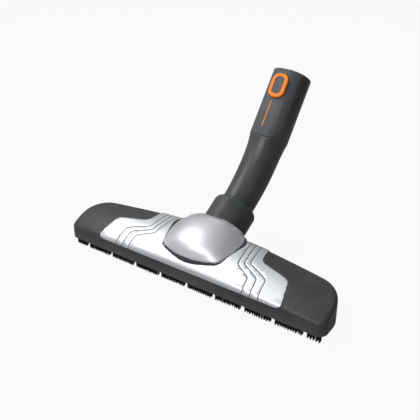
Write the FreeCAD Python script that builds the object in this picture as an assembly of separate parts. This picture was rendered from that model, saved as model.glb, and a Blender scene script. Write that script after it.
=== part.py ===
import FreeCAD
import Part
import math
import os

V = FreeCAD.Vector
ORIGIN = V(0, 0, 0)
X_AXIS = V(1, 0, 0)
Y_AXIS = V(0, 1, 0)
Z_AXIS = V(0, 0, 1)

# Hard floor vacuum nozzle. All sizes in millimetres.
# While it is drawn, X runs along the head, +Y points to the rear, +Z up, and z = 0 is the floor.
# At the end everything is moved so that the origin is on the floor at the middle of the overall box.

# Head: outer form
head_length = 296.0
head_front = 46.0
head_rear = 8.0
head_end_rear = -3.0
end_lean = 1.5
rear_straight_half = 50.0
front_corner_r = 8.0
rear_corner_r = 28.0
rear_bend_r = 300.0
underside_z = 9.0
crest_z = 41.5
crest_y = 4.0
top_arc_r = 89.3
end_drop_r = 2100.0
top_edge_r = 4.5
housing_wall = 2.2

# Silver panel over the head
panel_proud = 0.9
panel_bed = 0.7
panel_gap = 0.25
panel_front_half = 106.0
panel_shoulder_half = 100.0
panel_shoulder_y = -22.5
panel_notch_half = 66.5
panel_notch_y = -14.0
panel_crest_half = 63.0
panel_lip_z = 22.0
panel_tail_z = 30.0
panel_corner_r = 8.0
panel_lip_corner_r = 6.0
groove_depth = 0.45
groove_width = 0.9
groove_count = 3
groove_corner_r = 5.0
groove_line = [(83.4, -46.0), (82.0, -30.0), (59.2, -20.3), (56.0, 4.0)]
groove_step = [(8.3, 0.0), (7.9, 2.4), (4.9, 2.9), (5.8, 0.0)]

# Raised hub in the middle of the head, and its cap
hub_front = 38.0
hub_front_half = 31.5
hub_shoulder_half = 43.5
hub_shoulder_y = 2.0
hub_rear_half = 30.0
hub_rear = 10.5
hub_bow = 4.5
hub_corner_r = 12.0
hub_bow_r = 60.0
hub_draft = 2.5
hub_base_z = 28.0
hub_height = 32.0
hub_top_z = 57.5
hub_flat_half = 20.0
hub_foot_half = 46.0
hub_foot_z = 36.0
hub_shoulder_r = 48.0
hub_crown_r = 84.0
hub_ridge_y = 5.0
hub_edge_r = 6.0
hub_min_edge_r = 1.5
hub_deck = 2.0
cap_wall = 2.0
cap_gap = 0.15
cap_front_z = 33.6
cap_rear_z = 44.0

# Knuckle: a ball with a collar, which tilts about X at the pivot
pivot_y = 10.0
pivot_z = 30.0
collar_angle = 31.0
ball_r = 22.5
ball_wall = 2.6
ball_gap = 0.7
window_r = 11.0
window_angle = 186.0
trunnion_r = 6.0
trunnion_end = 28.5
trunnion_clearance = 0.08
collar_end = 34.0
collar_bore_r = 19.9
collar_seat = 24.7
collar_seat_r = 17.6

# Neck: spigot in the collar, bend, and socket for the tube
neck_r = 17.2
neck_bore_r = 14.8
neck_start = 20.0
flange_r = 19.6
flange_start = 25.2
flange_length = 2.0
ring_skirt_length = 6.3
ring_skirt_r = 19.8
ring_bore_r = 17.5
ring_top = 39.5
ring_edge_r = 4.4
neck_angle = 52.3
neck_end_y = 145.2
neck_end_z = 160.1
neck_bend_r = 190.0
neck_swell_mid_r = 18.9
socket_start = 70.0
socket_r = 20.3
socket_flat = 19.2
bore_r = 16.1
bore_length = 30.0
seat_r = 15.7
seat_end = 46.0

# Cover plate on the front of the socket
cover_half = 16.8
cover_length = 72.8
cover_corner_r = 12.0
cover_inner_r = 18.0
cover_bed_gap = 0.15
cover_gap = 0.25

# Push button and latch under the cover
button_u = 19.0
button_length = 26.0
button_width = 18.0
button_corner_r = 7.6
button_top = 22.0
button_foot = 19.0
button_band = 3.8
button_gap = 0.5
button_edge_r = 1.2
pad_recess = 0.6
lever_pivot_u = 31.0
lever_pivot_n = 16.6
lever_pin_r = 0.8
lever_pin_clearance = 0.05
lever_pin_end = 6.3
lever_half = 4.0
lever_thickness = 1.0
lever_plate_gap = 0.1
lever_riser_u = 26.9
lever_riser_half = 2.3
lever_arm_n = 16.2
lever_end_u = 46.0
tooth_u = 42.0
tooth_length = 3.0
tooth_reach = 14.9
lever_room = 0.4
lever_travel_room = 1.4
pocket_floor = 16.75
spring_half = 2.2
spring_start = 13.0
spring_end = 25.0
spring_thickness = 0.3

# Sole plate, suction mouth and duct
sole_thickness = 2.4
sole_gap = 0.15
mouth_half = 32.0
mouth_front = 31.0
mouth_rear = 13.0
channel_half = 108.0
channel_depth = 1.2
duct_wall = 1.8
duct_half = 19.0
chamber_height = 8.0
duct_angle = 170.0
duct_hole_r = 13.0
seal_gap = 0.3
seal_thickness = 1.6
seal_inner_angle = 35.0
seal_outer_angle = 43.0

# Bristle strips
front_bristle_margin = 5.0
front_carrier_inset = 2.5
front_bristle_y = -40.0
rear_bristle_inner = 42.0
rear_bristle_margin = 24.0
rear_bristle_inset = 7.5
carrier_width = 5.4
carrier_height = 3.4
carrier_gap = 0.15
trough_wall = 1.2
tuft_depth = 4.6
tuft_pitch = 2.75
tuft_width = 2.0
tuft_root = 2.6
notch_pitch = 32.0
notch_width = 5.0

# Wheels behind the hub
wheel_r = 8.0
wheel_width = 8.0
wheel_edge_r = 1.0
wheel_y = 24.0
wheel_inner_x = 29.9
wheel_clearance = 0.08
axle_r = 1.5
prong_wall = 3.0
prong_gap = 0.6
prong_r = 4.5

# Trunnion bearings
fork_inner_x = 23.3
fork_wall = 6.0
fork_r = 9.5
fork_gap = 0.3

# Screws
screw_r = 1.5
screw_clearance = 0.1
screw_length = 12.0
screw_head_r = 3.0
screw_head_length = 1.3
boss_r = 4.0
end_screw_margin = 20.0
end_screw_y = -24.0
mid_screw_half = 56.0
mid_screw_y = -22.0

pivot = V(0, pivot_y, pivot_z)
neck_end = V(0, neck_end_y, neck_end_z)
sole_top = underside_z + sole_thickness
head_half = head_length / 2
front_bristle_half = head_half - front_bristle_margin
front_carrier_half = front_bristle_half - front_carrier_inset
rear_bristle_outer = head_half - rear_bristle_margin
end_screw_half = head_half - end_screw_margin
screw_places = [
    (-end_screw_half, end_screw_y),
    (end_screw_half, end_screw_y),
    (-mid_screw_half, mid_screw_y),
    (mid_screw_half, mid_screw_y),
]
wide = 400.0
margin = 4.0
line_reach = 30.0
rim_edge_rise = 8.0
rim_edge_span = 16.0


def direction(angle):
    """Unit vector in the middle plane: 0 points to the rear, 90 straight up."""
    return V(0, math.cos(math.radians(angle)), math.sin(math.radians(angle)))


collar_axis = direction(collar_angle)
neck_axis = direction(neck_angle)


def at_collar(shape):
    """From collar coordinates (z along the collar, from the pivot) to the head's."""
    shape = shape.copy()
    shape.rotate(ORIGIN, X_AXIS, collar_angle - 90)
    shape.translate(pivot)
    return shape


def at_neck(shape):
    """From socket coordinates (x across, y to the front, z the depth from the open end) to the head's."""
    shape = shape.copy()
    shape.rotate(ORIGIN, X_AXIS, 90 + neck_angle)
    shape.translate(neck_end)
    return shape


def rounded_outline(corners, place):
    """Closed wire through (a, b, radius) corners, each corner rounded by a tangent arc.

    place turns the pair (a, b) into a point in space.
    """
    arcs = []
    for i, (bx, by, r) in enumerate(corners):
        ax, ay, _ = corners[i - 1]
        cx, cy, _ = corners[(i + 1) % len(corners)]
        b = V(bx, by, 0)
        u = V(ax - bx, ay - by, 0).normalize()
        w = V(cx - bx, cy - by, 0).normalize()
        half = u.getAngle(w) / 2
        if r <= 0:
            arcs.append((b, None, b))
            continue
        tangent = r / math.tan(half)
        inward = (u + w).normalize()
        arcs.append((b + u * tangent, b + inward * (r / math.sin(half) - r), b + w * tangent))
    edges = []
    for i, (start, middle, end) in enumerate(arcs):
        if middle is not None:
            edges.append(Part.Arc(*[place(p.x, p.y) for p in (start, middle, end)]).toShape())
        after = arcs[(i + 1) % len(arcs)][0]
        if end.distanceToPoint(after) > 1e-6:
            edges.append(Part.LineSegment(place(end.x, end.y), place(after.x, after.y)).toShape())
    return Part.Wire(edges)


def prism(corners, z_low, z_high):
    """Upright prism with a rounded plan outline."""
    wire = rounded_outline(corners, lambda a, b: V(a, b, z_low))
    return Part.Face(wire).extrude(V(0, 0, z_high - z_low))


def cylinder(radius, start, axis, length):
    return Part.makeCylinder(radius, length, start, axis)


def rod(radius, x0, x1, y, z):
    """Cylinder along X."""
    return cylinder(radius, V(min(x0, x1), y, z), X_AXIS, abs(x1 - x0))


def box(x0, x1, y0, y1, z0, z1):
    return Part.makeBox(x1 - x0, y1 - y0, z1 - z0, V(x0, y0, z0))


def ball(radius):
    return Part.makeSphere(radius, pivot)


def side_profile(corners, x0, x1):
    """Solid with a rounded outline in the Y-Z plane, from x0 to x1."""
    wire = rounded_outline(corners, lambda a, b: V(x0, a, b))
    return Part.Face(wire).extrude(V(x1 - x0, 0, 0))


def both_sides(shape):
    """The shape and its mirror image in the middle plane, as a list."""
    return [shape, shape.mirror(ORIGIN, X_AXIS)]


def joined(shapes):
    first, *rest = shapes
    return first.fuse(rest).removeSplitter() if rest else first


def slope_at(z_front, z_rear):
    """Half space above the plane that splits cap from hub, as a large solid."""
    front = V(0, -hub_front, z_front)
    rear = V(0, hub_rear, z_rear)
    angle = math.degrees(math.atan2(z_rear - z_front, hub_rear + hub_front))
    slab = box(-wide, wide, -wide, wide, 0, wide)
    slab.rotate(ORIGIN, X_AXIS, angle)
    slab.translate((front + rear) * 0.5)
    return slab


def head_plan(grow):
    """Plan outline of the head, grown outward by grow."""
    half = head_length / 2 + grow
    end_half = half - end_lean
    front = -head_front - grow
    return [
        (-half, front, front_corner_r + grow),
        (half, front, front_corner_r + grow),
        (end_half, head_end_rear + grow, rear_corner_r + grow),
        (rear_straight_half, head_rear + grow, rear_bend_r),
        (-rear_straight_half, head_rear + grow, rear_bend_r),
        (-end_half, head_end_rear + grow, rear_corner_r + grow),
    ]


def head_form(grow=0.0, bottom=underside_z, rounded=True):
    """Outer form of the head, grown by grow: a plan prism under a top curved both ways, with a rounded rim."""
    top_z = crest_z + grow
    reach = head_front + crest_y + grow + margin
    arc_r = top_arc_r + grow
    edge_z = top_z - arc_r + math.sqrt(arc_r**2 - reach**2)
    centre = V(0, 0, top_z - end_drop_r)
    front, back = crest_y - reach, crest_y + reach
    arc = Part.Arc(V(0, front, edge_z), V(0, crest_y, top_z), V(0, back, edge_z)).toShape()
    floor = [V(0, back, edge_z), V(0, back, 0), V(0, front, 0), V(0, front, edge_z)]
    section = Part.Face(Part.Wire([arc] + Part.makePolygon(floor).Edges))
    half_angle = math.degrees(math.asin((head_length / 2 + 12) / end_drop_r))
    section.rotate(centre, Y_AXIS, -half_angle)
    form = prism(head_plan(grow), bottom, crest_z + 20).common(section.revolve(centre, Y_AXIS, 2 * half_angle))
    if not rounded:
        return form
    above = underside_z + rim_edge_rise
    rim = [e for e in form.Edges if e.BoundBox.ZMin > above and e.BoundBox.ZLength < rim_edge_span]
    return form.makeFillet(top_edge_r + grow, rim)


def hub_walls(inset, base):
    """Drafted walls of the hub, moved inward by inset, from base up."""

    def outline(z, step):
        front = -hub_front + step
        wire = [
            (-hub_front_half + step, front + hub_bow, hub_corner_r),
            (0, front - hub_bow, hub_bow_r),
            (hub_front_half - step, front + hub_bow, hub_corner_r),
            (hub_shoulder_half - step, hub_shoulder_y, hub_corner_r),
            (hub_rear_half - step, hub_rear - step, hub_corner_r / 2),
            (-hub_rear_half + step, hub_rear - step, hub_corner_r / 2),
            (-hub_shoulder_half + step, hub_shoulder_y, hub_corner_r),
        ]
        return rounded_outline(wire, lambda a, b: V(a, b, z))

    draft = 2 * hub_draft / hub_height
    low = outline(base, inset - hub_draft + draft * (base - hub_base_z))
    high = outline(hub_base_z + hub_height, inset + hub_draft)
    return Part.makeLoft([low, high], True, True)


def hub_crown(inset):
    """Everything under the pillow-shaped top of the hub, moved inward by inset."""
    flank = math.atan2(hub_top_z - hub_foot_z, hub_foot_half - hub_flat_half)
    flat = hub_flat_half - inset * math.tan(flank / 2)
    foot = hub_foot_half - inset / math.sin(flank)
    far = 30.0
    low_z = hub_foot_z - far * math.tan(flank)
    top_z = hub_top_z - inset
    corners = [
        (-foot - far, low_z, 0),
        (-flat, top_z, hub_shoulder_r - inset),
        (flat, top_z, hub_shoulder_r - inset),
        (foot + far, low_z, 0),
    ]
    section = Part.Face(rounded_outline(corners, lambda a, b: V(a, hub_ridge_y, b)))
    centre = V(0, hub_ridge_y, hub_top_z - hub_crown_r)
    sweep = math.degrees(math.asin((hub_front + hub_ridge_y + hub_bow + margin) / hub_crown_r))
    section.rotate(centre, X_AXIS, sweep)
    return section.revolve(centre, X_AXIS, -2 * sweep)


def rising(face, point):
    """How far a face's outward normal points up at a point of it, from -1 to 1."""
    u, v = face.Surface.parameter(point)
    return face.normalAt(u, v).z


def hub_form(inset=0.0, base=hub_base_z, rounded=True):
    """Hub form: drafted walls under the crown, with the edge between them rounded."""
    form = hub_walls(inset, base).common(hub_crown(inset))
    if not rounded:
        return form
    rim = []
    for edge in form.Edges:
        middle = edge.valueAt((edge.FirstParameter + edge.LastParameter) / 2)
        rises = sorted(rising(face, middle) for face in form.ancestorsOfType(edge, Part.Face))
        if rises[0] > -0.5 and rises[-1] - rises[0] > 0.25:
            rim.append(edge)
    return form.makeFillet(max(hub_edge_r - inset, hub_min_edge_r), rim)


def knuckle_room():
    """Space that the knuckle sweeps inside the head, with its running gap."""
    r = ball_r + ball_gap
    collar = at_collar(cylinder(r, ORIGIN, Z_AXIS, collar_end))
    behind = box(-r, r, pivot_y, pivot_y + 2 * r, 0, pivot_z + r * math.cos(math.radians(collar_angle)))
    return ball(r).fuse([collar, behind])


def offset_line(points, inset):
    """The open line through four plan points, moved to its left by inset and carried on at both ends."""
    lines = []
    for a, b in zip(points, points[1:]):
        along = (b - a).normalize()
        lines.append((a + V(-along.y, along.x, 0) * inset, along))
    result = [lines[0][0] - lines[0][1] * line_reach]
    for (p, d), (q, e) in zip(lines, lines[1:]):
        t = ((q.x - p.x) * e.y - (q.y - p.y) * e.x) / (d.x * e.y - d.y * e.x)
        result.append(p + d * t)
    result.append(points[-1] + (lines[-1][0] - points[-2]) + lines[-1][1] * line_reach)
    return result


def panel_region(inset=0.0, radius=panel_corner_r):
    """Upright prism over the panel, moved inward by inset at its two ends."""
    points = [
        V(panel_front_half, -head_front, 0),
        V(panel_shoulder_half, panel_shoulder_y, 0),
        V(panel_notch_half, panel_notch_y, 0),
        V(panel_crest_half, crest_y, 0),
    ]
    side = offset_line(points, inset)
    right = [(p.x, p.y, r) for p, r in zip(side, [0.0, radius, radius, 0.0])]
    left = [(-x, y, r) for x, y, r in reversed(right)]
    return prism(right + left, 0, 2 * crest_z)


def groove_ribbon(index):
    """Upright ribbon over one of the panel's decorative grooves, on the right."""
    points = [
        V(x - index * step_x, y - index * step_y, 0)
        for (x, y), (step_x, step_y) in zip(groove_line, groove_step)
    ]
    outer = offset_line(points, 0)
    inner = offset_line(points, groove_width)
    radii = [0.0, groove_corner_r, groove_corner_r, 0.0]
    ribbon = [(p.x, p.y, r) for p, r in zip(outer, radii)]
    ribbon += [(p.x, p.y, r) for p, r in reversed(list(zip(inner, radii)))]
    return prism(ribbon, 0, 2 * crest_z)


def panel_lips(grow):
    """What the panel covers seen from the front: down to the lip in front, and to the tail at the rear."""
    def face_on(z, y0, y1, radius):
        half = panel_front_half + grow
        corners = [(-half, z - grow, radius), (half, z - grow, radius), (half, 2 * crest_z, 0), (-half, 2 * crest_z, 0)]
        wire = rounded_outline(corners, lambda a, b: V(a, y0, b))
        return Part.Face(wire).extrude(V(0, y1 - y0, 0))

    front = face_on(panel_lip_z, -wide, panel_shoulder_y, panel_lip_corner_r)
    return front.fuse(face_on(panel_tail_z, panel_shoulder_y, wide, 0))


def make_silver_panel():
    layer = head_form(panel_proud, 0).cut(head_form(-panel_bed, -1))
    panel = layer.common(panel_region()).common(panel_lips(0))
    panel = panel.cut(hub_walls(-panel_gap, hub_base_z - 8))
    band_top = head_form(panel_proud + 1, 0).cut(head_form(panel_proud - groove_depth, -1))
    for i in range(groove_count):
        panel = panel.cut(both_sides(groove_ribbon(i).common(band_top)))
    return panel.cut(knuckle_room())


def make_hub_cap():
    """Silver cap over the hub, cut clear of the head and of the knuckle's room."""
    cap = hub_form().common(slope_at(cap_front_z, cap_rear_z)).cut(hub_form(cap_wall, hub_base_z - 2, False))
    return cap.cut([head_form(cap_gap, 0), knuckle_room()])


def fork_discs(radius, inner, outer):
    """Discs about the tilt axis, one on each side of the ball."""
    return both_sides(rod(radius, inner, outer, pivot_y, pivot_z))


def make_upper_housing():
    """Moulded shell of the head and the hub, with screw bosses and the upper trunnion saddles."""
    split = slope_at(cap_front_z - cap_gap, cap_rear_z - cap_gap)
    hub = hub_walls(0, hub_base_z).cut(split).fuse(hub_form(cap_wall + cap_gap, hub_base_z, False))
    housing = head_form().fuse([hub] + fork_discs(fork_r, fork_inner_x, fork_inner_x + fork_wall + fork_gap))
    inside = head_form(-housing_wall, underside_z - 1, False)
    hollow_hub = hub_form(cap_wall + cap_gap + hub_deck, hub_base_z - 8, False)
    bosses = []
    for x, y in screw_places:
        boss = box(x - 2 * boss_r, x + 2 * boss_r, y - 2 * boss_r, y + 2 * boss_r, sole_top, crest_z)
        bosses.append(
            cylinder(boss_r, V(x, y, sole_top), Z_AXIS, crest_z)
            .common(boss)
            .common(head_form(-1, underside_z - 1))
        )
    saddles = [
        s.common(box(-wide, wide, -wide, wide, pivot_z, wide))
        for s in fork_discs(fork_r, fork_inner_x, fork_inner_x + fork_wall + fork_gap)
    ]
    housing = housing.cut([inside, hollow_hub]).fuse(bosses + saddles)
    bed = head_form(1, 0).cut(head_form(-panel_bed, -1))
    bed = bed.common(panel_region(-panel_gap)).common(panel_lips(panel_gap)).cut(hub_walls(0, hub_base_z - 8))
    cuts = [bed, knuckle_room()]
    cuts += fork_discs(trunnion_r + trunnion_clearance, 0, trunnion_end + fork_gap)
    for x, y in screw_places:
        cuts.append(cylinder(screw_r + screw_clearance, V(x, y, 0), Z_AXIS, underside_z + screw_length + 2))
    post_out = fork_inner_x + fork_wall + fork_gap
    prong_out = wheel_inner_x + wheel_width + prong_gap + prong_wall + fork_gap
    cuts.append(box(-post_out, post_out, pivot_y - fork_r - fork_gap, wide, 0, pivot_z))
    cuts.append(box(-prong_out, prong_out, 0, wide, 0, wheel_r + prong_r + fork_gap))
    return housing.cut(cuts)


def prong_side(x0, x1):
    """One cheek that carries a wheel axle, from the sole plate back to the wheel."""
    foot = wheel_r + prong_r
    corners = [
        (head_rear - 12, underside_z, 0),
        (wheel_y, wheel_r - prong_r, 0),
        (wheel_y + prong_r, wheel_r - prong_r, prong_r - 0.1),
        (wheel_y + prong_r, foot, prong_r - 0.1),
        (head_rear - 12, foot, 0),
    ]
    return side_profile(corners, x0, x1)


def front_groove(grow):
    """Bar along the front bristle line: the carrier, or with grow its groove."""
    half = carrier_width / 2 + grow
    end = front_carrier_half + grow
    return box(
        -end,
        end,
        front_bristle_y - half,
        front_bristle_y + half,
        underside_z,
        underside_z + carrier_height + max(grow, 0),
    )


def along_rear(shape):
    """Turn a bar drawn along X through the right-hand rear bristle line."""
    lean = math.degrees(math.atan2(head_end_rear - head_rear, head_length / 2 - end_lean - rear_straight_half))
    shape = shape.copy()
    shape.rotate(V(rear_straight_half, head_rear, 0), Z_AXIS, lean)
    return shape


def rear_groove(grow):
    """Bar along the right-hand rear bristle line: the carrier, or with grow its groove."""
    half = carrier_width / 2 + grow
    y = head_rear - rear_bristle_inset
    bar = box(
        rear_bristle_inner - grow,
        rear_bristle_outer + grow,
        y - half,
        y + half,
        underside_z,
        underside_z + carrier_height + max(grow, 0),
    )
    return along_rear(bar)


def make_sole_plate():
    """Floor of the head, with bristle troughs, wheel prongs and the lower trunnion posts."""
    inset = housing_wall + sole_gap
    plate = prism(head_plan(-inset), underside_z, sole_top)
    troughs = [front_groove(trough_wall)] + both_sides(rear_groove(trough_wall))
    room = head_form(-inset, underside_z)
    solids = [t.common(room) for t in troughs]
    outer = wheel_inner_x + wheel_width + prong_gap
    inner = wheel_inner_x - prong_gap
    for x0 in (inner - prong_wall, outer):
        solids += both_sides(prong_side(x0, x0 + prong_wall))
    post = box(fork_inner_x, fork_inner_x + fork_wall, pivot_y - fork_r, pivot_y + fork_r, underside_z, pivot_z)
    solids += both_sides(post)
    plate = plate.fuse(solids)
    cuts = [knuckle_room()] + fork_discs(trunnion_r + trunnion_clearance, 0, trunnion_end + fork_gap)
    cuts.append(front_groove(carrier_gap))
    cuts += both_sides(rear_groove(carrier_gap))
    cuts.append(box(-mouth_half, mouth_half, -mouth_front, -mouth_rear, 0, sole_top + 1))
    cuts.append(box(-channel_half, channel_half, -mouth_front, -mouth_rear, 0, underside_z + channel_depth))
    cuts += both_sides(rod(axle_r + wheel_clearance, 0, outer + prong_wall + 1, wheel_y, wheel_r))
    for x, y in screw_places:
        cuts.append(cylinder(screw_r + screw_clearance, V(x, y, 0), Z_AXIS, sole_top + 1))
        cuts.append(cylinder(screw_head_r + screw_clearance, V(x, y, 0), Z_AXIS, underside_z + screw_head_length))
    return plate.cut(cuts)


def make_sole_screws():
    """Screws that pass through the sole plate into the bosses of the housing."""
    screws = []
    for x, y in screw_places:
        shank = cylinder(screw_r, V(x, y, underside_z), Z_AXIS, screw_length)
        screws.append(shank.fuse(cylinder(screw_head_r, V(x, y, underside_z), Z_AXIS, screw_head_length)).removeSplitter())
    return Part.makeCompound(screws)


def tufts(x0, x1, y):
    """One comb of bristle tufts on a common root, along X."""
    root = box(x0, x1, y - tuft_depth / 2, y + tuft_depth / 2, underside_z - tuft_root, underside_z)
    count = max(1, int((x1 - x0 - tuft_width) / tuft_pitch) + 1)
    pitch = (x1 - x0 - tuft_width) / max(count - 1, 1)
    solids = []
    for i in range(count):
        x = x0 + i * pitch
        solids.append(box(x, x + tuft_width, y - tuft_depth / 2, y + tuft_depth / 2, 0, underside_z - tuft_root))
    return joined([root] + solids)


def make_front_bristles():
    """Combs of the front strip, with a gap at each notch."""
    combs = []
    edge = -front_bristle_half
    gaps = int(front_bristle_half // notch_pitch)
    for k in range(-gaps, gaps + 2):
        stop = k * notch_pitch - notch_width / 2 if k <= gaps else front_bristle_half
        combs.append(tufts(edge, stop, front_bristle_y))
        edge = stop + notch_width
    return Part.makeCompound(combs)


def make_rear_bristles():
    """Comb of the right-hand rear strip."""
    return along_rear(tufts(rear_bristle_inner, rear_bristle_outer, head_rear - rear_bristle_inset))


def duct_profile(inset):
    """Side view of the duct: up from the chamber, then rearward to the ball."""
    top = sole_top + chamber_height
    return [
        (-mouth_front - duct_wall + inset, sole_top - inset, 0),
        (-mouth_front - duct_wall + inset, top + 4, 6),
        (-mouth_front + 11, pivot_z + 11 - inset, 10),
        (pivot_y, pivot_z + 17 - inset, 0),
        (pivot_y, sole_top + 1.5 + inset, 0),
        (-mouth_rear + duct_wall - inset, sole_top + 1.5 + inset, 0),
        (-mouth_rear + duct_wall - inset, sole_top - inset, 0),
    ]


def make_suction_duct():
    """Duct from the mouth's chamber to a spherical face around the ball."""
    face_r = ball_r + seal_gap + seal_thickness
    top = sole_top + chamber_height
    chamber = box(
        -mouth_half - duct_wall,
        mouth_half + duct_wall,
        -mouth_front - duct_wall,
        -mouth_rear + duct_wall,
        sole_top,
        top,
    )
    chamber_room = box(-mouth_half, mouth_half, -mouth_front, -mouth_rear, 0, top - duct_wall)
    run = side_profile(duct_profile(0), -duct_half, duct_half)
    run_room = side_profile(duct_profile(duct_wall), -duct_half + duct_wall, duct_half - duct_wall)
    hole = cylinder(duct_hole_r, pivot, direction(duct_angle), face_r + duct_wall + 4)
    duct = chamber.fuse(run).common(box(-wide, wide, -wide, pivot_y - 8, 0, wide))
    rooms = [chamber_room, run_room.cut(ball(face_r + duct_wall)), ball(face_r), hole]
    ceiling = head_form(-housing_wall - 0.3, 0).fuse(
        hub_form(cap_wall + cap_gap + hub_deck + 0.3, hub_base_z - 8, False)
    )
    return duct.cut(rooms).common(ceiling)


def make_knuckle_seal():
    """Ring between the duct's spherical face and the ball."""
    inner_r = ball_r + seal_gap
    outer_r = inner_r + seal_thickness
    low, high = math.radians(seal_inner_angle), math.radians(seal_outer_angle)
    mid = (low + high) / 2

    def at(r, a):
        return V(r * math.sin(a), 0, r * math.cos(a))

    section = Part.Face(
        Part.Wire(
            [
                Part.Arc(at(inner_r, low), at(inner_r, mid), at(inner_r, high)).toShape(),
                Part.LineSegment(at(inner_r, high), at(outer_r, high)).toShape(),
                Part.Arc(at(outer_r, high), at(outer_r, mid), at(outer_r, low)).toShape(),
                Part.LineSegment(at(outer_r, low), at(inner_r, low)).toShape(),
            ]
        )
    )
    seal = section.revolve(ORIGIN, Z_AXIS, 360)
    seal.rotate(ORIGIN, X_AXIS, duct_angle - 90)
    seal.translate(pivot)
    return seal


def make_knuckle():
    """Hollow ball with its collar and trunnions, open to the duct and to the neck."""
    collar = at_collar(cylinder(ball_r, ORIGIN, Z_AXIS, collar_end))
    trunnions = fork_discs(trunnion_r, ball_r - ball_wall, trunnion_end)
    outer = ball(ball_r).fuse([collar] + trunnions).removeSplitter()
    rooms = [
        ball(ball_r - ball_wall),
        at_collar(cylinder(collar_seat_r, ORIGIN, Z_AXIS, collar_seat + 1)),
        at_collar(cylinder(collar_bore_r, V(0, 0, collar_seat), Z_AXIS, collar_end)),
        cylinder(window_r, pivot, direction(window_angle), 2 * ball_r),
    ]
    return outer.cut(rooms)


def make_retaining_ring():
    """Ring that closes the collar over the flange of the neck."""
    z_low = collar_end - ring_skirt_length
    corners = [
        (ring_bore_r, z_low, 0),
        (ring_skirt_r, z_low, 0),
        (ring_skirt_r, collar_end, 0),
        (ball_r, collar_end, 0),
        (ball_r, ring_top, ring_edge_r),
        (ring_bore_r, ring_top, 0),
    ]
    section = Part.Face(rounded_outline(corners, lambda a, b: V(a, 0, b)))
    return at_collar(section.revolve(ORIGIN, Z_AXIS, 360))


def bend_geometry():
    """Distance of the bend's start from the pivot, and of its end from the open end of the neck."""
    d, e = collar_axis, neck_axis
    gap = neck_end - pivot
    det = d.y * e.z - d.z * e.y
    s = (gap.y * e.z - gap.z * e.y) / det
    t = (d.y * gap.z - d.z * gap.y) / det
    tangent = neck_bend_r * math.tan(math.radians(neck_angle - collar_angle) / 2)
    return s - tangent, t - tangent


def make_neck_form():
    """Outer form of the neck from the spigot to the open end, and its round passage."""
    start, finish = bend_geometry()
    bend_start = pivot + collar_axis * start
    bend_centre = bend_start + direction(collar_angle + 90) * neck_bend_r
    turn = neck_angle - collar_angle

    def ring(radius, angle):
        middle = bend_centre - direction(angle + 90) * neck_bend_r
        return Part.Wire(Part.makeCircle(radius, middle, direction(angle)))

    socket_foot = Part.Wire(Part.makeCircle(socket_r, neck_end - neck_axis * socket_start, neck_axis))
    sections = [
        ring(neck_r, collar_angle),
        ring(neck_r, collar_angle + turn * 0.25),
        ring(neck_r + (neck_swell_mid_r - neck_r) * 0.4, collar_angle + turn * 0.65),
        ring(neck_swell_mid_r, neck_angle),
        socket_foot,
    ]
    bend = Part.makeLoft(sections, True)
    spigot = at_collar(cylinder(neck_r, V(0, 0, neck_start), Z_AXIS, start - neck_start))
    flange = at_collar(cylinder(flange_r, V(0, 0, flange_start), Z_AXIS, flange_length))
    outer = spigot.fuse([flange, bend, at_neck(socket_outer())])
    bore_face = Part.Face(ring(neck_bore_r, collar_angle))
    bend_room = bore_face.revolve(bend_centre, X_AXIS, turn)
    rooms = [
        at_collar(cylinder(neck_bore_r, ORIGIN, Z_AXIS, start)),
        bend_room,
        at_neck(cylinder(neck_bore_r, ORIGIN, Z_AXIS, finish)),
        at_neck(cylinder(seat_r, ORIGIN, Z_AXIS, seat_end)),
        at_neck(cylinder(bore_r, V(0, 0, -1), Z_AXIS, bore_length + 1)),
    ]
    return outer, rooms


def socket_outer():
    """Socket in its own coordinates: round, with a flat on the front."""
    return cylinder(socket_r, ORIGIN, Z_AXIS, socket_start).cut(box(-wide, wide, socket_flat, wide, -1, wide))


def cover_window(grow):
    """Seen from the front, the outline of the cover plate, as a block."""
    half = cover_half + grow
    end = cover_length + grow
    corners = [(-half, -1, 0), (half, -1, 0), (half, end, cover_corner_r + grow), (-half, end, cover_corner_r + grow)]
    wire = rounded_outline(corners, lambda a, b: V(a, 0, b))
    return Part.Face(wire).extrude(V(0, 2 * socket_r, 0))


def button_block(grow, y0, y1):
    """Block with the button's rounded outline, between two heights over the socket's axis."""
    half = button_width / 2 + grow
    z0 = button_u - button_length / 2 - grow
    z1 = button_u + button_length / 2 + grow
    r = button_corner_r + grow
    corners = [(-half, z0, r), (half, z0, r), (half, z1, r), (-half, z1, r)]
    wire = rounded_outline(corners, lambda a, b: V(a, y0, b))
    return Part.Face(wire).extrude(V(0, y1 - y0, 0))


def latch_room():
    """Space for the latch between the tube and the cover, in socket coordinates."""
    arm_half = lever_half + lever_room
    return [
        button_block(button_gap, pocket_floor, socket_flat + 1),
        box(-arm_half, arm_half, 0, cover_inner_r - cover_bed_gap + 1, lever_riser_u - 1, lever_end_u + 1),
    ]


def make_neck_tube():
    """Neck with its bend, socket, cover bed and room for the latch."""
    outer, rooms = make_neck_form()
    bed = cylinder(wide, V(0, 0, -1), Z_AXIS, wide).cut(
        cylinder(cover_inner_r - cover_bed_gap, V(0, 0, -2), Z_AXIS, wide)
    )
    local = [cover_window(cover_gap).common(bed)] + latch_room()
    pin_r = lever_pin_r + lever_pin_clearance
    pin_end = lever_pin_end + lever_room
    local.append(rod(pin_r, -pin_end, pin_end, lever_pivot_n, lever_pivot_u))
    local.append(box(-pin_end, pin_end, lever_pivot_n, socket_r, lever_pivot_u - pin_r, lever_pivot_u + pin_r))
    return outer.cut(rooms + [at_neck(s) for s in local])


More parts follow.
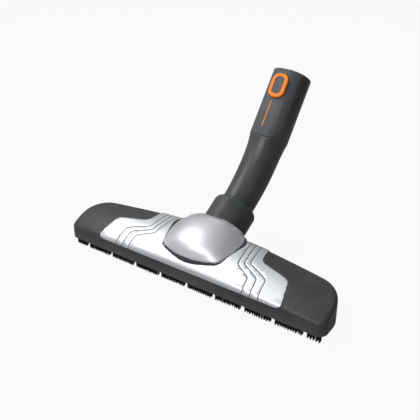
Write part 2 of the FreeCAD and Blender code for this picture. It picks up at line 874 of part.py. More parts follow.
def make_neck_cover():
    """Cover plate that lies on the front of the neck, open around the button."""
    cover = swell_outer().cut(cylinder(cover_inner_r, V(0, 0, -2), Z_AXIS, wide)).common(cover_window(0))
    arm_half = lever_half + lever_room
    pin_end = lever_pin_end + lever_room
    room = lever_pin_r + lever_room
    cuts = [
        button_block(button_gap, 0, wide),
        box(-arm_half, arm_half, 0, lever_arm_n + lever_thickness + lever_travel_room, lever_riser_u - 1, lever_end_u + 1),
        rod(room, -pin_end, pin_end, lever_pivot_n, lever_pivot_u),
    ]
    return at_neck(cover.cut(cuts))


def swell_outer():
    """Outer form of the socket carried on past its foot, in socket coordinates."""
    _, finish = bend_geometry()
    foot = Part.makeCone(socket_r, neck_swell_mid_r, finish - socket_start, V(0, 0, socket_start), Z_AXIS)
    return socket_outer().fuse(foot)


def make_button():
    """Ring of the push button, a frame that stands up from the cover."""
    ring = button_block(0, button_foot, button_top)
    top_edges = [e for e in ring.Edges if e.BoundBox.YMin > button_top - 0.01]
    ring = ring.makeFillet(button_edge_r, top_edges)
    return at_neck(ring.cut(button_block(-button_band, 0, wide)))


def make_button_pad():
    """Grey pad inside the button's ring."""
    pad = button_block(-button_band, button_foot + lever_thickness, button_top - pad_recess)
    return at_neck(pad)


def make_latch_lever():
    """Lever that carries the button, with its pin and the tooth that holds the tube."""
    t = lever_thickness
    half = lever_riser_half
    solids = [
        button_block(-button_band - lever_plate_gap, button_foot, button_foot + t),
        box(-half, half, lever_arm_n, button_foot + t, lever_riser_u, lever_riser_u + t),
        box(-lever_half, lever_half, lever_arm_n, lever_arm_n + t, lever_riser_u, lever_end_u),
        rod(lever_pin_r, -lever_pin_end, lever_pin_end, lever_pivot_n, lever_pivot_u),
        side_profile(
            [
                (lever_arm_n, tooth_u, 0),
                (tooth_reach, tooth_u + tooth_length * 0.6, 0),
                (tooth_reach, tooth_u + tooth_length, 0),
                (lever_arm_n, tooth_u + tooth_length, 0),
            ],
            -lever_half + 1,
            lever_half - 1,
        ),
    ]
    return at_neck(joined(solids))


def make_latch_spring():
    """Arched leaf spring under the button end of the lever."""
    low = pocket_floor
    high = button_foot - 0.05
    middle = (spring_start + spring_end) / 2
    t = spring_thickness

    def arch(step):
        return [V(0, low + step, spring_start), V(0, high - t + step, middle), V(0, low + step, spring_end)]

    bottom, top = arch(0), arch(t)
    section = Part.Face(
        Part.Wire(
            [
                Part.Arc(*bottom).toShape(),
                Part.LineSegment(bottom[2], top[2]).toShape(),
                Part.Arc(*reversed(top)).toShape(),
                Part.LineSegment(top[0], bottom[0]).toShape(),
            ]
        )
    )
    section.translate(V(-spring_half, 0, 0))
    return at_neck(section.extrude(V(2 * spring_half, 0, 0)))


def make_wheel():
    """Right-hand rear wheel with its bore."""
    x0 = wheel_inner_x
    wheel = rod(wheel_r, x0, x0 + wheel_width, wheel_y, wheel_r)
    wheel = wheel.makeFillet(wheel_edge_r, [e for e in wheel.Edges if e.BoundBox.YLength > wheel_r])
    return wheel.cut(rod(axle_r + wheel_clearance, x0 - 1, x0 + wheel_width + 1, wheel_y, wheel_r))


def make_axle():
    """Right-hand wheel axle, from cheek to cheek."""
    x0 = wheel_inner_x - prong_gap - prong_wall
    x1 = wheel_inner_x + wheel_width + prong_gap + prong_wall
    return rod(axle_r, x0, x1, wheel_y, wheel_r)


def sided(name, shape):
    """A right-hand piece and its mirror image, with their node names."""
    right, left = both_sides(shape)
    return {name + "_right": right, name + "_left": left}


def build():
    """All nodes by name."""
    nodes = {
        "upper_housing": make_upper_housing(),
        "silver_panel": make_silver_panel(),
        "hub_cap": make_hub_cap(),
        "sole_plate": make_sole_plate(),
        "sole_screws": make_sole_screws(),
        "front_bristle_carrier": front_groove(0),
        "front_bristles": make_front_bristles(),
        "suction_duct": make_suction_duct(),
        "knuckle_seal": make_knuckle_seal(),
        "knuckle": make_knuckle(),
        "retaining_ring": make_retaining_ring(),
        "neck_tube": make_neck_tube(),
        "neck_cover": make_neck_cover(),
        "button_ring": make_button(),
        "button_pad": make_button_pad(),
        "latch_lever": make_latch_lever(),
        "latch_spring": make_latch_spring(),
    }
    nodes.update(sided("rear_bristle_carrier", rear_groove(0)))
    nodes.update(sided("rear_bristles", make_rear_bristles()))
    nodes.update(sided("rear_wheel", make_wheel()))
    nodes.update(sided("wheel_axle", make_axle()))
    return nodes


def export(shapes):
    """Write one STEP per node, moved so that the origin is under the middle of the overall box."""
    os.makedirs("parts", exist_ok=True)
    bounds = FreeCAD.BoundBox()
    for shape in shapes.values():
        bounds.add(shape.optimalBoundingBox(True, False))
    shift = V(-bounds.Center.x, -bounds.Center.y, 0)
    for name, shape in shapes.items():
        moved = shape.copy()
        moved.translate(shift)
        moved.exportStep(os.path.join("parts", name + ".step"))
    return shift


if __name__ == "__main__":
    shapes = build()
    shift = export(shapes)
    print("moved by", shift, "nodes", len(shapes))
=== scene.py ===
"""Looks of a hard floor nozzle: a wide brush head, a silver panel, a swivelling neck and a push latch.

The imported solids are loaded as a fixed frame. Each sub-assembly below dresses its own solids in
procedural finishes and builds the fine pieces that the solids only stand for, such as bristles.
"""

from __future__ import annotations

import logging
import math
import random
from collections.abc import Callable
from dataclasses import dataclass, field
from enum import Enum

import bmesh
import bpy
from mathutils import Matrix, Vector

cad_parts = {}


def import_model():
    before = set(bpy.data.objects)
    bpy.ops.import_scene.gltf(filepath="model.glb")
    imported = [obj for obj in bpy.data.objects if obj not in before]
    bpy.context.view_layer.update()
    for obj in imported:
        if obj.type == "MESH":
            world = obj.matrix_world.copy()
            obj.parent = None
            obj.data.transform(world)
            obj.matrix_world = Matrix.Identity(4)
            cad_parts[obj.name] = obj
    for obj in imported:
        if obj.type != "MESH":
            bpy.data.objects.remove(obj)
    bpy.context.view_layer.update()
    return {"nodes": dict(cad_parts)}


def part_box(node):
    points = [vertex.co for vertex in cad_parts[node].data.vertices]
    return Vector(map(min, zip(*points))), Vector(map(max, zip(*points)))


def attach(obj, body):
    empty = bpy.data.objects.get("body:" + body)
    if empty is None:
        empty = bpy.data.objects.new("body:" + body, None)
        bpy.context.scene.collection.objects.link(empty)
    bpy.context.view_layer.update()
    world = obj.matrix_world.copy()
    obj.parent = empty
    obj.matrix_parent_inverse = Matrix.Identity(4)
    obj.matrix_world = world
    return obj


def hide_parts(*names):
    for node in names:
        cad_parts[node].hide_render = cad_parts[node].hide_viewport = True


log = logging.getLogger("nozzle")

MM = 0.001

# Points of a mesh that lie closer than this are one point, metres.
WELD = 0.000002

# Places in the drawing of the solids, in millimetres and degrees. The first one turns its Y into the frame's.
DRAWING_SHIFT_Y = -57.1809
FRONT_BRISTLES_Y = -40.0
HEAD_REAR_Y = 8.0
REAR_BRISTLE_INSET = 7.5
NECK_ANGLE = 52.3
NECK_END = Vector((0.0, 145.2 + DRAWING_SHIFT_Y, 160.1)) * MM

Colour = tuple[float, float, float]
Point = tuple[float, float, float]
Socket = bpy.types.NodeSocket
Item = float | Colour | Socket
Mesh = bmesh.types.BMesh

WHITE: Colour = (1.0, 1.0, 1.0)
NOISE_MIDDLE = 0.5


def linear(red: int, green: int, blue: int) -> Colour:
    """Turn a screen colour into the linear one a shader takes.

    Args:
        red: Red, 0 to 255.
        green: Green, 0 to 255.
        blue: Blue, 0 to 255.

    Returns:
        The three linear parts, 0 to 1.
    """

    def part(value: int) -> float:
        """One part of the colour."""
        share = value / 255.0
        return share / 12.92 if share <= 0.04045 else ((share + 0.055) / 1.055) ** 2.4

    return part(red), part(green), part(blue)


def placed(mesh: Mesh, name: str) -> bpy.types.Object:
    """Turn a finished mesh into an object of the scene.

    Args:
        mesh: The mesh, in metres. It is freed.
        name: The object's name.

    Returns:
        The object.
    """
    data = bpy.data.meshes.new(name)
    mesh.to_mesh(data)
    mesh.free()
    made = bpy.data.objects.new(name, data)
    bpy.context.scene.collection.objects.link(made)
    return made


class Body(str, Enum):
    """The bodies of the frame that carry a piece made here."""

    HEAD = "head"


class Side(Enum):
    """Left and right of the nozzle, as its sign along X."""

    LEFT = -1
    RIGHT = 1

    @property
    def word(self) -> str:
        """The side's name, as the solids use it."""
        return self.name.lower()


class Kind(Enum):
    """Kinds of value that pass in and out of a shader group."""

    NUMBER = "NodeSocketFloat"
    VECTOR = "NodeSocketVector"
    COLOUR = "NodeSocketColor"

    @classmethod
    def fitting(cls, value: float | Colour | None) -> Kind:
        """The kind that a start value needs.

        Args:
            value: A number, a colour, or None for a vector.

        Returns:
            The kind.
        """
        if value is None:
            return cls.VECTOR
        return cls.COLOUR if isinstance(value, tuple) else cls.NUMBER


# Shader groups


@dataclass
class Wiring:
    """Adds and links the nodes of one node tree.

    Attributes:
        tree: The node tree.
        end: The node that takes the tree's results.
    """

    tree: bpy.types.NodeTree
    end: bpy.types.Node

    def node(self, kind: str, **settings: object) -> bpy.types.Node:
        """Add a node.

        Args:
            kind: Blender's name for it, without the leading ShaderNode.
            **settings: Its own settings.

        Returns:
            The node.
        """
        node = self.tree.nodes.new("ShaderNode" + kind)
        for name, value in settings.items():
            setattr(node, name, value)
        return node

    def feed(self, socket: Socket, item: Item) -> None:
        """Set a socket to a plain value, or link it to another socket.

        Args:
            socket: The input to feed.
            item: A number, a colour, a vector or a socket.
        """
        if isinstance(item, Socket):
            self.tree.links.new(item, socket)
        elif socket.type == "RGBA":
            socket.default_value = (*item, 1.0)
        else:
            socket.default_value = item

    def give(self, name: str, item: Item) -> None:
        """Feed the named input of the end node."""
        self.feed(self.end.inputs[name], item)

    def noise(self, place: Socket, scale: Item, detail: float) -> Socket:
        """Add a noise texture.

        Args:
            place: Where it is read.
            scale: A number, or the socket that gives it.
            detail: How many finer layers it has.

        Returns:
            The socket with the noise, 0 to 1.
        """
        node = self.node("TexNoise")
        self.feed(node.inputs["Vector"], place)
        self.feed(node.inputs["Scale"], scale)
        self.feed(node.inputs["Detail"], detail)
        return node.outputs["Fac"]

    def cells(self, place: Socket, scale: Item) -> Socket:
        """Add a cell texture.

        Args:
            place: Where it is read.
            scale: A number, or the socket that gives it.

        Returns:
            The socket with the distance from a cell's middle.
        """
        node = self.node("TexVoronoi", feature="F1")
        self.feed(node.inputs["Vector"], place)
        self.feed(node.inputs["Scale"], scale)
        return node.outputs["Distance"]

    def math(self, operation: str, first: Item, second: Item, clamp: bool = False) -> Socket:
        """Add a sum, a product or another operation.

        Args:
            operation: Blender's name for it.
            first: A number or a socket.
            second: A number or a socket.
            clamp: Whether the result stays between 0 and 1.

        Returns:
            The socket with the result.
        """
        node = self.node("Math", operation=operation, use_clamp=clamp)
        self.feed(node.inputs[0], first)
        self.feed(node.inputs[1], second)
        return node.outputs[0]

    def spread(self, value: Item, low: Item, high: Item, to_low: Item = 0.0, to_high: Item = 1.0) -> Socket:
        """Stretch a range of values smoothly onto another range.

        Args:
            value: What is stretched.
            low: Where the range starts.
            high: Where the range ends.
            to_low: What the start becomes.
            to_high: What the end becomes.

        Returns:
            The socket with the stretched value.
        """
        node = self.node("MapRange", interpolation_type="SMOOTHSTEP")
        names = ("Value", "From Min", "From Max", "To Min", "To Max")
        for name, item in zip(names, (value, low, high, to_low, to_high)):
            self.feed(node.inputs[name], item)
        return node.outputs["Result"]

    def mix(self, share: Item, under: Item, over: Item, kind: str = "RGBA") -> Socket:
        """Lay one colour or number over another.

        Args:
            share: Mask of the upper one, 0 to 1.
            under: The lower colour or number.
            over: The upper colour or number.
            kind: RGBA for colours, VALUE for numbers.

        Returns:
            The socket with the mixture.
        """
        node = self.node("Mix", data_type="FLOAT" if kind == "VALUE" else kind)
        self.feed(node.inputs["Factor"], share)
        for name, item in (("A", under), ("B", over)):
            self.feed(next(s for s in node.inputs if s.name == name and s.type == kind), item)
        return next(s for s in node.outputs if s.type == kind)

    def split(self, vector: Socket) -> tuple[Socket, ...]:
        """The X, Y and Z of a vector."""
        node = self.node("SeparateXYZ")
        self.feed(node.inputs[0], vector)
        return node.outputs[0], node.outputs[1], node.outputs[2]

    def mapped(self, place: Socket, kind: str, **values: Point) -> Socket:
        """Move, turn or stretch a place.

        Args:
            place: The place.
            kind: POINT to move it, or TEXTURE to read it in coordinates that are moved.
            **values: Location, Rotation or Scale.

        Returns:
            The socket with the new place.
        """
        node = self.node("Mapping", vector_type=kind)
        self.feed(node.inputs["Vector"], place)
        for name, value in values.items():
            self.feed(node.inputs[name], value)
        return node.outputs["Vector"]


class Group(Wiring):
    """A shader group under construction.

    Attributes:
        start: The node that gives the group's inputs.
    """

    def __init__(self, name: str, inputs: dict[str, float | Colour | None], outputs: dict[str, Kind]) -> None:
        """Make the empty group with its sockets.

        Args:
            name: The group's name.
            inputs: Start value of each input. A vector has none.
            outputs: Kind of each output.
        """
        tree = bpy.data.node_groups.new(name, "ShaderNodeTree")
        for label, value in inputs.items():
            kind = Kind.fitting(value)
            socket = tree.interface.new_socket(name=label, in_out="INPUT", socket_type=kind.value)
            if value is not None:
                socket.default_value = (*value, 1.0) if kind is Kind.COLOUR else value
        for label, kind in outputs.items():
            tree.interface.new_socket(name=label, in_out="OUTPUT", socket_type=kind.value)
        self.start = tree.nodes.new("NodeGroupInput")
        super().__init__(tree, tree.nodes.new("NodeGroupOutput"))

    def take(self, name: str) -> Socket:
        """The socket that gives the named input of the group."""
        return self.start.outputs[name]


class Effects:
    """The shader groups that several finishes share, each built once."""

    def __init__(self) -> None:
        """Build every group."""
        self.grain = self.moulded_grain()
        self.film = self.dust_film()
        self.flake = self.metal_flake()
        self.scuff = self.fine_scuffs()
        self.band = self.soft_band()

    def moulded_grain(self) -> bpy.types.NodeTree:
        """Fine pebbled grain of a spark-eroded mould.

        Returns:
            A group that gives a height, and a roughness that follows it.
        """
        swell_scale, swell_detail = 0.02, 3.0
        pebble_height, swell_height = 0.8, 0.4
        made = Group(
            "moulded_grain",
            {"Position": None, "Scale": 1800.0, "Roughness": 0.4, "Unevenness": 0.08},
            {"Height": Kind.NUMBER, "Roughness": Kind.NUMBER},
        )
        position, scale = made.take("Position"), made.take("Scale")
        pebbles = made.cells(position, scale)
        swell = made.noise(position, made.math("MULTIPLY", scale, swell_scale), swell_detail)
        low, high = made.math("MULTIPLY", pebbles, pebble_height), made.math("MULTIPLY", swell, swell_height)
        change = made.math("MULTIPLY", made.math("SUBTRACT", swell, NOISE_MIDDLE), made.take("Unevenness"))
        made.give("Height", made.math("ADD", low, high))
        made.give("Roughness", made.math("ADD", made.take("Roughness"), change, clamp=True))
        return made.tree

    def dust_film(self) -> bpy.types.NodeTree:
        """Thin uneven film of handling marks and floor dust.

        Returns:
            A group that gives the colour under the film.
        """
        cloud_scale, cloud_detail, cloud_span = 34.0, 5.0, (0.42, 0.72)
        floor_span, grey, dust = (0.022, 0.004), (0.1, 0.1, 0.1), (0.35, 0.33, 0.3)
        made = Group(
            "dust_film",
            {"Position": None, "Colour": grey, "Dust": dust, "Amount": 0.05, "Floor": 0.1},
            {"Colour": Kind.COLOUR},
        )
        position = made.take("Position")
        clouds = made.spread(made.noise(position, cloud_scale, cloud_detail), *cloud_span)
        _, _, height = made.split(position)
        low = made.math("MULTIPLY", made.spread(height, *floor_span), made.take("Floor"))
        share = made.math("ADD", made.math("MULTIPLY", clouds, made.take("Amount")), low, clamp=True)
        made.give("Colour", made.mix(share, made.take("Colour"), made.take("Dust")))
        return made.tree

    def metal_flake(self) -> bpy.types.NodeTree:
        """Fine flake of a metallic lacquer.

        Returns:
            A group that gives the sparkling colour and its roughness.
        """
        flake_detail, flake_span = 1.0, (0.3, 0.7)
        cloud_scale, cloud_detail, cloud_roughness = 60.0, 4.0, 0.06
        silver, shade, shade_share = (0.7, 0.7, 0.7), (0.1, 0.1, 0.105), 0.6
        made = Group(
            "metal_flake",
            {"Position": None, "Colour": silver, "Scale": 3500.0, "Contrast": 0.12, "Roughness": 0.3},
            {"Colour": Kind.COLOUR, "Roughness": Kind.NUMBER},
        )
        position, colour = made.take("Position"), made.take("Colour")
        flakes = made.spread(made.noise(position, made.take("Scale"), flake_detail), *flake_span)
        clouds = made.noise(position, cloud_scale, cloud_detail)
        share = made.math("MULTIPLY", flakes, made.take("Contrast"))
        made.give("Colour", made.mix(share, colour, made.mix(shade_share, colour, shade)))
        rough = made.math("MULTIPLY", made.math("SUBTRACT", clouds, NOISE_MIDDLE), cloud_roughness)
        made.give("Roughness", made.math("ADD", made.take("Roughness"), rough, clamp=True))
        return made.tree

    def fine_scuffs(self) -> bpy.types.NodeTree:
        """Hairline scuffs from use, mostly along the nozzle's width.

        Returns:
            A group that gives a mask of the scuffs.
        """
        stretch, turn = (0.06, 1.0, 1.0), (0.0, 0.0, math.radians(12))
        line_scale, line_detail, line_span = 1400.0, 2.0, (0.62, 0.7)
        patch_scale, patch_detail, patch_span = 45.0, 3.0, (0.52, 0.72)
        made = Group("fine_scuffs", {"Position": None, "Amount": 0.3}, {"Mask": Kind.NUMBER})
        position = made.take("Position")
        stretched = made.mapped(position, "POINT", Scale=stretch, Rotation=turn)
        lines = made.spread(made.noise(stretched, line_scale, line_detail), *line_span)
        patches = made.spread(made.noise(position, patch_scale, patch_detail), *patch_span)
        mask = made.math("MULTIPLY", lines, patches)
        made.give("Mask", made.math("MULTIPLY", mask, made.take("Amount"), clamp=True))
        return made.tree

    def soft_band(self) -> bpy.types.NodeTree:
        """Band between two values of one coordinate.

        Returns:
            A group that gives 1 inside the band and 0 outside it.
        """
        made = Group(
            "soft_band", {"Value": 0.0, "Low": 0.0, "High": 1.0, "Softness": 0.0002}, {"Mask": Kind.NUMBER}
        )
        value, soft = made.take("Value"), made.take("Softness")
        low, high = made.take("Low"), made.take("High")
        above = made.spread(value, made.math("SUBTRACT", low, soft), made.math("ADD", low, soft))
        below = made.spread(value, made.math("SUBTRACT", high, soft), made.math("ADD", high, soft), 1.0, 0.0)
        made.give("Mask", made.math("MULTIPLY", above, below))
        return made.tree


# Finishes


class Shader(Wiring):
    """A material under construction, with its one shader.

    Attributes:
        material: The material.
    """

    def __init__(self, name: str) -> None:
        """Start a new material.

        Args:
            name: The material's name.
        """
        self.material = bpy.data.materials.new(name)
        self.material.use_nodes = True
        tree = self.material.node_tree
        super().__init__(tree, tree.nodes["Principled BSDF"])

    def position(self) -> Socket:
        """The point on the object, from its own coordinates."""
        found = self.tree.nodes.get("place") or self.node("TexCoord", name="place")
        return found.outputs["Object"]

    def group(self, tree: bpy.types.NodeTree, **values: Item) -> bpy.types.Node:
        """Place a shared group.

        Args:
            tree: The group.
            **values: What its inputs get.

        Returns:
            The placed node.
        """
        node = self.node("Group", node_tree=tree)
        if "Position" in node.inputs:
            self.feed(node.inputs["Position"], self.position())
        for name, value in values.items():
            self.feed(node.inputs[name], value)
        return node

    def bump(self, height: Socket, depth: float) -> None:
        """Give the surface a relief.

        Args:
            height: The relief, 0 to 1.
            depth: How deep it is, in metres.
        """
        node = self.node("Bump")
        self.feed(node.inputs["Strength"], 1.0)
        self.feed(node.inputs["Distance"], depth)
        self.feed(node.inputs["Height"], height)
        self.give("Normal", node.outputs["Normal"])


@dataclass(frozen=True)
class Finish:
    """How a piece looks.

    Attributes:
        name: The finish's name.
        colour: Linear base colour.
    """

    name: str
    colour: Colour

    def material(self, effects: Effects) -> bpy.types.Material:
        """Build the material.

        Args:
            effects: The shared shader groups.

        Returns:
            The finished material.
        """
        made = Shader(self.name)
        self.wire(made, effects)
        return made.material

    def wire(self, made: Shader, effects: Effects) -> None:
        """Wire up the material. Each finish does this in its own way.

        Args:
            made: The material under construction.
            effects: The shared shader groups.
        """
        raise NotImplementedError


@dataclass(frozen=True)
class Plastic(Finish):
    """A moulded plastic, from glossy to matt.

    Attributes:
        roughness: Mean roughness.
        grain_scale: Pebbles to the metre.
        grain_depth: Height of the grain in metres.
        unevenness: How much the roughness changes over the piece.
        dust: Share of the dust film.
        floor_dust: Share of dust near the floor.
        scuffs: Share of hairline scuffs.
        scuff_gain: How many times paler than the plastic a scuff is.
        scuff_lift: How much paler still it is than that.
        coat: Weight of the clear gloss layer.
        coat_roughness: Roughness of that layer.
        gloss: Specular level.
    """

    roughness: float = 0.4
    grain_scale: float = 1700.0
    grain_depth: float = 0.00003
    unevenness: float = 0.12
    dust: float = 0.05
    floor_dust: float = 0.1
    scuffs: float = 0.15
    scuff_gain: float = 1.8
    scuff_lift: float = 0.03
    coat: float = 0.0
    coat_roughness: float = 0.2
    gloss: float = 0.2

    def surface_colour(self, made: Shader, effects: Effects) -> Socket:
        """The plastic's colour with its dust and scuffs.

        Args:
            made: The material under construction.
            effects: The shared shader groups.

        Returns:
            The socket with the colour.
        """
        film = made.group(effects.film, Colour=self.colour, Amount=self.dust, Floor=self.floor_dust)
        scuff = made.group(effects.scuff, Amount=self.scuffs)
        pale = tuple(min(1.0, part * self.scuff_gain + self.scuff_lift) for part in self.colour)
        return made.mix(scuff.outputs["Mask"], film.outputs["Colour"], pale)

    def wire(self, made: Shader, effects: Effects) -> None:
        """Wire up the plastic."""
        made.give("Coat Weight", self.coat)
        made.give("Coat Roughness", self.coat_roughness)
        made.give("Specular IOR Level", self.gloss)
        made.give("Base Color", self.surface_colour(made, effects))
        size = {"Scale": self.grain_scale, "Roughness": self.roughness, "Unevenness": self.unevenness}
        grain = made.group(effects.grain, **size)
        made.give("Roughness", grain.outputs["Roughness"])
        made.bump(grain.outputs["Height"], self.grain_depth)


@dataclass(frozen=True)
class PrintedPlastic(Plastic):
    """A moulded plastic with a thin coloured line along the neck.

    Attributes:
        ink: Linear colour of the line.
        across: Lowest and highest place of the line across the neck, metres.
        along: Lowest and highest depth of the line from the open end, metres.
        ink_edge: Half width of the line's soft edge, metres.
    """

    ink: Colour = linear(240, 130, 30)
    across: tuple[float, float] = (0.0, 0.001)
    along: tuple[float, float] = (0.04, 0.06)
    ink_edge: float = 0.00008

    def surface_colour(self, made: Shader, effects: Effects) -> Socket:
        """The plastic's colour with the line on it."""
        turn = (math.radians(90 + NECK_ANGLE), 0.0, 0.0)
        side, _, depth = made.split(made.mapped(made.position(), "TEXTURE", Location=NECK_END, Rotation=turn))
        masks = [
            made.group(effects.band, Value=value, Low=low, High=high, Softness=self.ink_edge).outputs["Mask"]
            for value, (low, high) in ((side, self.across), (depth, self.along))
        ]
        return made.mix(made.math("MULTIPLY", *masks), super().surface_colour(made, effects), self.ink)


@dataclass(frozen=True)
class Metal(Finish):
    """Bare or plated metal with fine turning marks.

    Attributes:
        roughness: Mean roughness.
        flake_scale: Bright flakes to the metre.
        flake_contrast: How much the flakes stand out.
        mark_depth: Depth of the turning marks in metres.
    """

    roughness: float = 0.28
    flake_scale: float = 2500.0
    flake_contrast: float = 0.1
    mark_depth: float = 0.00001

    def flakes(self, made: Shader, effects: Effects) -> bpy.types.Node:
        """Place the metal's flakes.

        Args:
            made: The material under construction.
            effects: The shared shader groups.

        Returns:
            The node that gives their colour and roughness.
        """
        size = {"Scale": self.flake_scale, "Contrast": self.flake_contrast, "Roughness": self.roughness}
        return made.group(effects.flake, Colour=self.colour, **size)

    def wire(self, made: Shader, effects: Effects) -> None:
        """Wire up the metal."""
        flake = self.flakes(made, effects)
        made.give("Metallic", 1.0)
        made.give("Base Color", flake.outputs["Colour"])
        made.give("Roughness", flake.outputs["Roughness"])
        marks = made.group(effects.scuff, Amount=1.0)
        made.bump(marks.outputs["Mask"], self.mark_depth)


@dataclass(frozen=True)
class Lacquer(Metal):
    """Metallic lacquer over moulded plastic.

    Attributes:
        metallic: How metallic it is.
        coat: Weight of the clear layer.
        coat_roughness: Roughness of that layer.
        dust: Share of the dust film.
        scuffs: Share of hairline scuffs.
        scuffed_roughness: Roughness of a scuff.
        grain_scale: Pebbles to the metre.
        grain_depth: Height of the grain in metres.
    """

    flake_scale: float = 3500.0
    flake_contrast: float = 0.15
    metallic: float = 0.8
    coat: float = 0.35
    coat_roughness: float = 0.12
    dust: float = 0.03
    scuffs: float = 0.12
    scuffed_roughness: float = 0.5
    grain_scale: float = 900.0
    grain_depth: float = 0.000008

    def wire(self, made: Shader, effects: Effects) -> None:
        """Wire up the lacquer."""
        flake = self.flakes(made, effects)
        made.give("Metallic", self.metallic)
        made.give("Coat Weight", self.coat)
        made.give("Coat Roughness", self.coat_roughness)
        film = made.group(effects.film, Colour=flake.outputs["Colour"], Amount=self.dust, Floor=0.0)
        made.give("Base Color", film.outputs["Colour"])
        scuff = made.group(effects.scuff, Amount=self.scuffs).outputs["Mask"]
        made.give("Roughness", made.mix(scuff, flake.outputs["Roughness"], self.scuffed_roughness, "VALUE"))
        grain = made.group(effects.grain, Scale=self.grain_scale)
        made.bump(grain.outputs["Height"], self.grain_depth)


class Look(Enum):
    """The finishes of the nozzle's pieces."""

    HOUSING = Plastic("housing_grey", linear(58, 60, 62), roughness=0.38, grain_depth=0.00001, coat=0.06)
    PANEL = Lacquer("panel_silver", linear(206, 209, 213), roughness=0.43)
    CAP = Lacquer("cap_silver", linear(218, 220, 224), roughness=0.44)
    # Painted shade: a darker grey strip on the floors of the silver panel's grooves, standing for the shade
    # inside them.
    GROOVE_SHADE = Plastic("groove_shade_grey", linear(98, 102, 105), roughness=0.5, grain_depth=0.000002)
    SOLE = Plastic("sole_grey", linear(54, 56, 58), roughness=0.45, floor_dust=0.16)
    SCREW = Metal("screw_steel", linear(190, 190, 188))
    CARRIER = Plastic("carrier_black", linear(28, 29, 30), roughness=0.5)
    BRISTLE = Plastic(
        "bristle_black", linear(16, 16, 17), roughness=0.5, grain_depth=0.000004, floor_dust=0.04
    )
    DUCT = Plastic("duct_grey", linear(50, 52, 53), roughness=0.5)
    SEAL = Plastic("seal_rubber", linear(26, 26, 27), roughness=0.6)
    KNUCKLE = Plastic("knuckle_grey", linear(62, 65, 67), roughness=0.36)
    RING = Plastic("ring_grey", linear(70, 74, 75), roughness=0.38, grain_depth=0.000006)
    NECK = Plastic("neck_grey", linear(60, 63, 65), roughness=0.34, grain_depth=0.000006, gloss=0.35)
    COVER = PrintedPlastic(
        "cover_grey",
        linear(80, 83, 86),
        roughness=0.38,
        grain_depth=0.000006,
        across=(-0.0028, -0.0018),
        along=(0.0355, 0.0635),
    )
    BUTTON = Plastic(
        "button_orange", linear(243, 134, 30), roughness=0.34, grain_depth=0.000004, coat=0.25, dust=0.0
    )
    PAD = Plastic("pad_grey", linear(88, 91, 92), roughness=0.5)
    LATCH = Plastic("latch_plastic", linear(190, 188, 180), roughness=0.45)
    SPRING = Metal("spring_steel", linear(170, 172, 175))
    WHEEL = Plastic("wheel_black", linear(34, 35, 36), roughness=0.55, floor_dust=0.2)


@dataclass
class Wardrobe:
    """Makes each finish once and puts it on pieces.

    Attributes:
        effects: The shared shader groups.
        made: The materials made so far.
    """

    effects: Effects
    made: dict[Look, bpy.types.Material] = field(default_factory=dict)

    def material(self, look: Look) -> bpy.types.Material:
        """The material of a finish, built at its first use."""
        if look not in self.made:
            self.made[look] = look.value.material(self.effects)
        return self.made[look]

    def dress(self, piece: bpy.types.Object, look: Look) -> None:
        """Put a finish on a piece.

        Args:
            piece: The piece.
            look: Its finish.
        """
        piece.data.materials.clear()
        piece.data.materials.append(self.material(look))
        log.info("%s wears %s", piece.name, look.value.name)


# Sub-assemblies


@dataclass
class SubAssembly:
    """A group of solids that belong together.

    Attributes:
        nodes: The frame's solids by name.
        wardrobe: Where the finishes come from.
        edge_round: Rounding of the moulded edges, metres.
        edge_angle: Edges sharper than this are rounded, degrees.
        edge_steps: Faces across a rounded edge.
    """

    nodes: dict[str, bpy.types.Object]
    wardrobe: Wardrobe
    edge_round: float = 0.00035
    edge_angle: float = 38.0
    edge_steps: int = 2

    def soften(self, *names: str) -> None:
        """Round the sharp edges of the named solids, as their moulds do."""
        for name in names:
            weld = self.nodes[name].modifiers.new("weld", "WELD")
            weld.merge_threshold = WELD
            bevel = self.nodes[name].modifiers.new("edges", "BEVEL")
            bevel.width = self.edge_round
            bevel.segments = self.edge_steps
            bevel.limit_method = "ANGLE"
            bevel.angle_limit = math.radians(self.edge_angle)
            bevel.harden_normals = True
            bevel.use_clamp_overlap = True

    def welded(self, name: str) -> Mesh:
        """Copy a solid's surface, with its patches joined.

        Args:
            name: The solid.

        Returns:
            The copy.
        """
        mesh = bmesh.new()
        mesh.from_mesh(self.nodes[name].data)
        bmesh.ops.remove_doubles(mesh, verts=mesh.verts[:], dist=WELD)
        mesh.normal_update()
        return mesh

    def wear(self, **looks: Look) -> None:
        """Dress solids of the frame, each named with its finish."""
        for name, look in looks.items():
            self.wardrobe.dress(self.nodes[name], look)

    def add(
        self, mesh: Mesh, name: str, body: Body, look: Look, smooth: bool = True, slot: Look | None = None
    ) -> bpy.types.Object:
        """Turn a finished mesh into a piece that rides on a body.

        Args:
            mesh: The mesh, in metres and in place. It is freed.
            name: The piece's name.
            body: The body that carries it.
            look: Its finish.
            smooth: Whether its faces are shaded smooth.
            slot: The finish that names its slot, if it isn't its own. It is not used.

        Returns:
            The new piece.
        """
        for face in mesh.faces:
            face.smooth = smooth
        piece = placed(mesh, name)
        self.wardrobe.dress(piece, look)
        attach(piece, body.value)
        log.info("%s built with %d faces", name, len(piece.data.polygons))
        return piece


